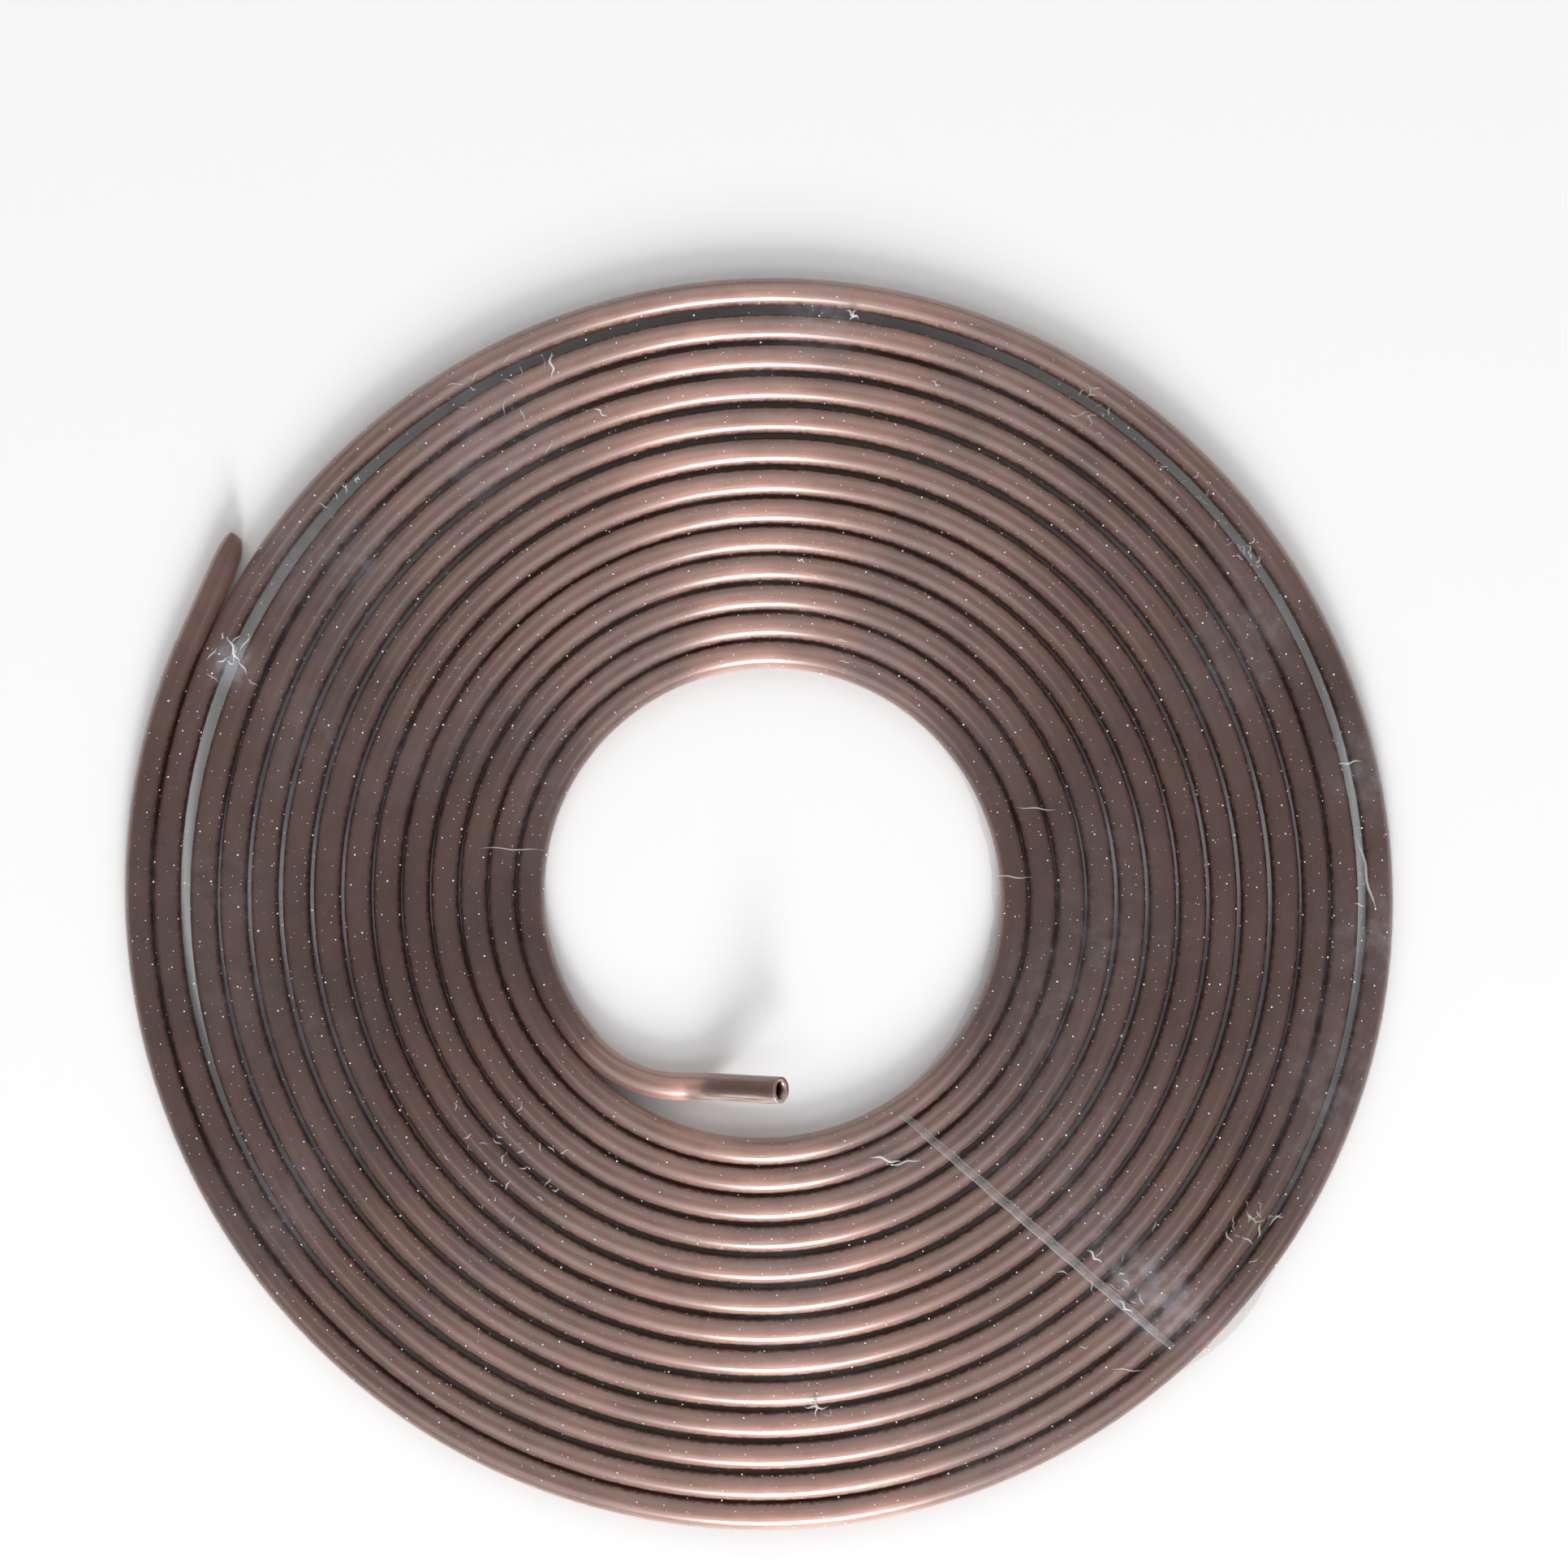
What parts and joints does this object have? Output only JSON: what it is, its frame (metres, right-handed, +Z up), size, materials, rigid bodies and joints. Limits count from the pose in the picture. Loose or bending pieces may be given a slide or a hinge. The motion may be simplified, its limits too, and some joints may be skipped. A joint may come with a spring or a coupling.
{
  "type": "copper tube coil",
  "caption": "Flat pancake coil of soft copper tube, thirteen turns in one layer, sealed in clear film, with an open cut end in the eye and a pinched end on the outside.",
  "frame": {"origin": "on the floor, under the middle of the coil's footprint", "axes": "+Z up, square to the coil's face; +Y towards the top of the picture; +X towards its right"},
  "size_m": [0.2918, 0.2882, 0.0177],
  "materials": {
    "copper": "dull drawn copper",
    "film": "clear film"
  },
  "bodies": {
    "root": {"copper_tube": "copper", "film_wrap": "film"}
  },
  "joints": []
}
